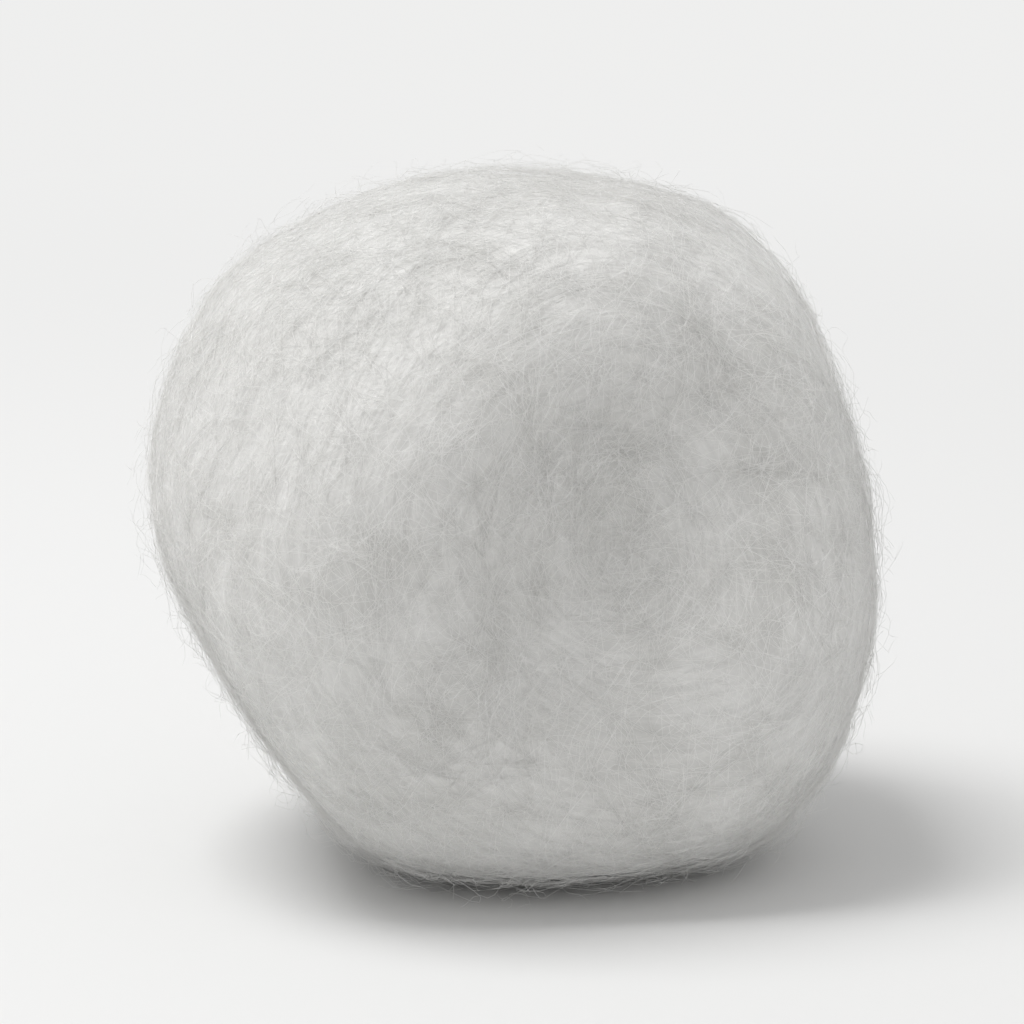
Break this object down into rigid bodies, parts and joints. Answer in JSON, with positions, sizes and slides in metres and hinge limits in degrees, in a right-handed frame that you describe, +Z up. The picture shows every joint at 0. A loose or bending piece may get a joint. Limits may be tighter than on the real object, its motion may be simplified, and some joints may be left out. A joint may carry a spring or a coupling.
{
  "type": "cotton ball",
  "caption": "Soft rolled ball of bleached cotton with a dished whorl at each end of the roll and a small flat to rest on, for wiping, dabbing and padding.",
  "frame": {"origin": "middle of the underside of the ball's box, on the surface that it rests on", "axes": "+Z up; -Y towards the roll's front end with the wider dish; +X to the right as that end is looked at"},
  "size_m": [0.027, 0.0252, 0.0255],
  "materials": {
    "cotton": "matte, fuzzy bleached cotton fibre"
  },
  "bodies": {
    "root": {"cotton_ball": "cotton"}
  },
  "joints": []
}
